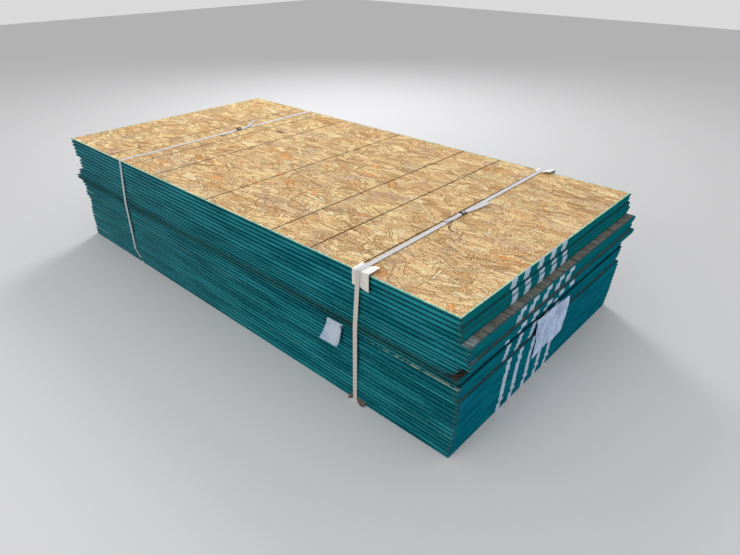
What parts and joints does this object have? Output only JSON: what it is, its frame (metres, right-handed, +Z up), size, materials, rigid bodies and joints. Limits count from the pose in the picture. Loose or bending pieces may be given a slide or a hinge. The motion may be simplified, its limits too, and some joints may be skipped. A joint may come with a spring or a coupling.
{
  "type": "strapped stack of osb panels",
  "caption": "Strapped pile of tongue and groove oriented strand board sheets with painted edges, wire buckles, edge guards, a paper tag and a torn end label.",
  "frame": {"origin": "on the floor, under the middle of the whole pile's box", "axes": "+X along the sheets towards the labelled end, +Y across them from the groove side to the tongue side, +Z up"},
  "size_m": [2.5124, 1.2823, 0.58],
  "materials": {
    "strand_board": "pressed strands, sealed; edges painted teal",
    "strap_webbing": "woven cord strap",
    "buckle_wire": "phosphated wire",
    "guard_plastic": "moulded white plastic",
    "foot_guard_card": "damp brown board",
    "paper": "white label paper"
  },
  "bodies": {
    "root": {"buckle_far": "buckle_wire", "buckle_near": "buckle_wire", "end_label": "paper", "guard_back": "guard_plastic", "guard_foot": "foot_guard_card", "guard_front": "guard_plastic", "sheet_01": "strand_board", "sheet_02": "strand_board", "sheet_03": "strand_board", "sheet_04": "strand_board", "sheet_05": "strand_board", "sheet_06": "strand_board", "sheet_07": "strand_board", "sheet_08": "strand_board", "sheet_09": "strand_board", "sheet_10": "strand_board", "sheet_11": "strand_board", "sheet_12": "strand_board", "sheet_13": "strand_board", "sheet_14": "strand_board", "sheet_15": "strand_board", "sheet_16": "strand_board", "sheet_17": "strand_board", "sheet_18": "strand_board", "sheet_19": "strand_board", "sheet_20": "strand_board", "sheet_21": "strand_board", "sheet_22": "strand_board", "sheet_23": "strand_board", "sheet_24": "strand_board", "sheet_25": "strand_board", "sheet_26": "strand_board", "sheet_27": "strand_board", "sheet_28": "strand_board", "sheet_29": "strand_board", "sheet_30": "strand_board", "side_tag": "paper", "strap_far": "strap_webbing", "strap_near": "strap_webbing"}
  },
  "joints": []
}
